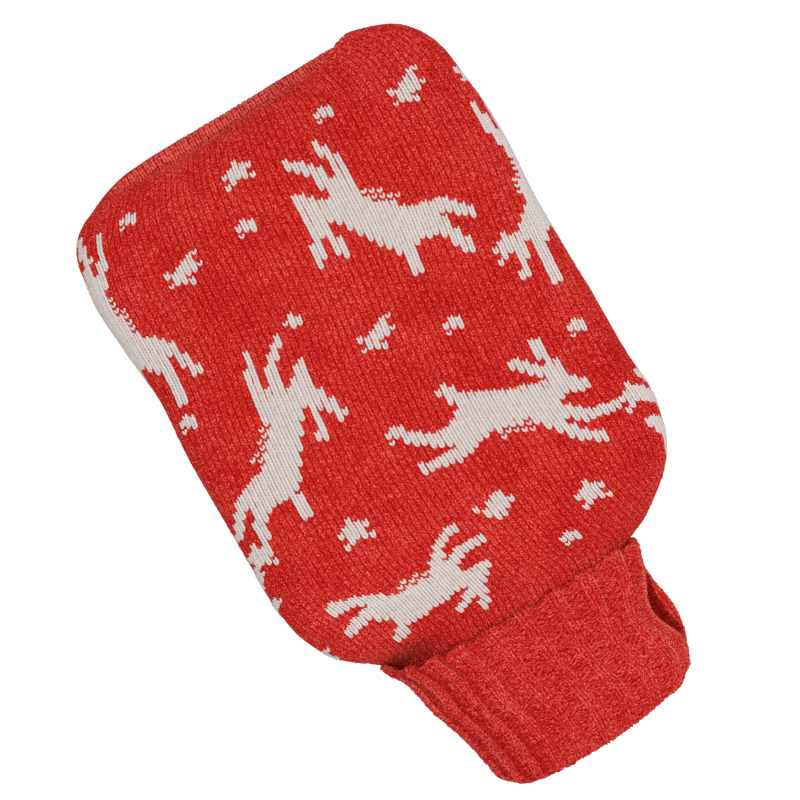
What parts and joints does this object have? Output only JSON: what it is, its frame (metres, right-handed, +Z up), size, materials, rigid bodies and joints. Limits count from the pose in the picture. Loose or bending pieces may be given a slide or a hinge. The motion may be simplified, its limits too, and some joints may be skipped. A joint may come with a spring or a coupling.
{
  "type": "hot water bottle cover",
  "caption": "Knitted cover for a hot water bottle: a flat hollow bag with a seamed base, sloping shoulders and a ribbed neck turned over as a cuff.",
  "frame": {"origin": "middle of the cover's underside, on the surface it lies on", "axes": "+Z up out of the cover's front, +Y from the mouth towards the closed base, +X to the right seen from above with the base away"},
  "size_m": [0.2144, 0.3578, 0.0426],
  "materials": {
    "plain_knit": "matt plain knitting in red wool with off-white motifs",
    "ribbed_knit": "matt soft ribbing in red wool"
  },
  "bodies": {
    "root": {"body": "plain_knit", "cuff": "ribbed_knit"}
  },
  "joints": []
}
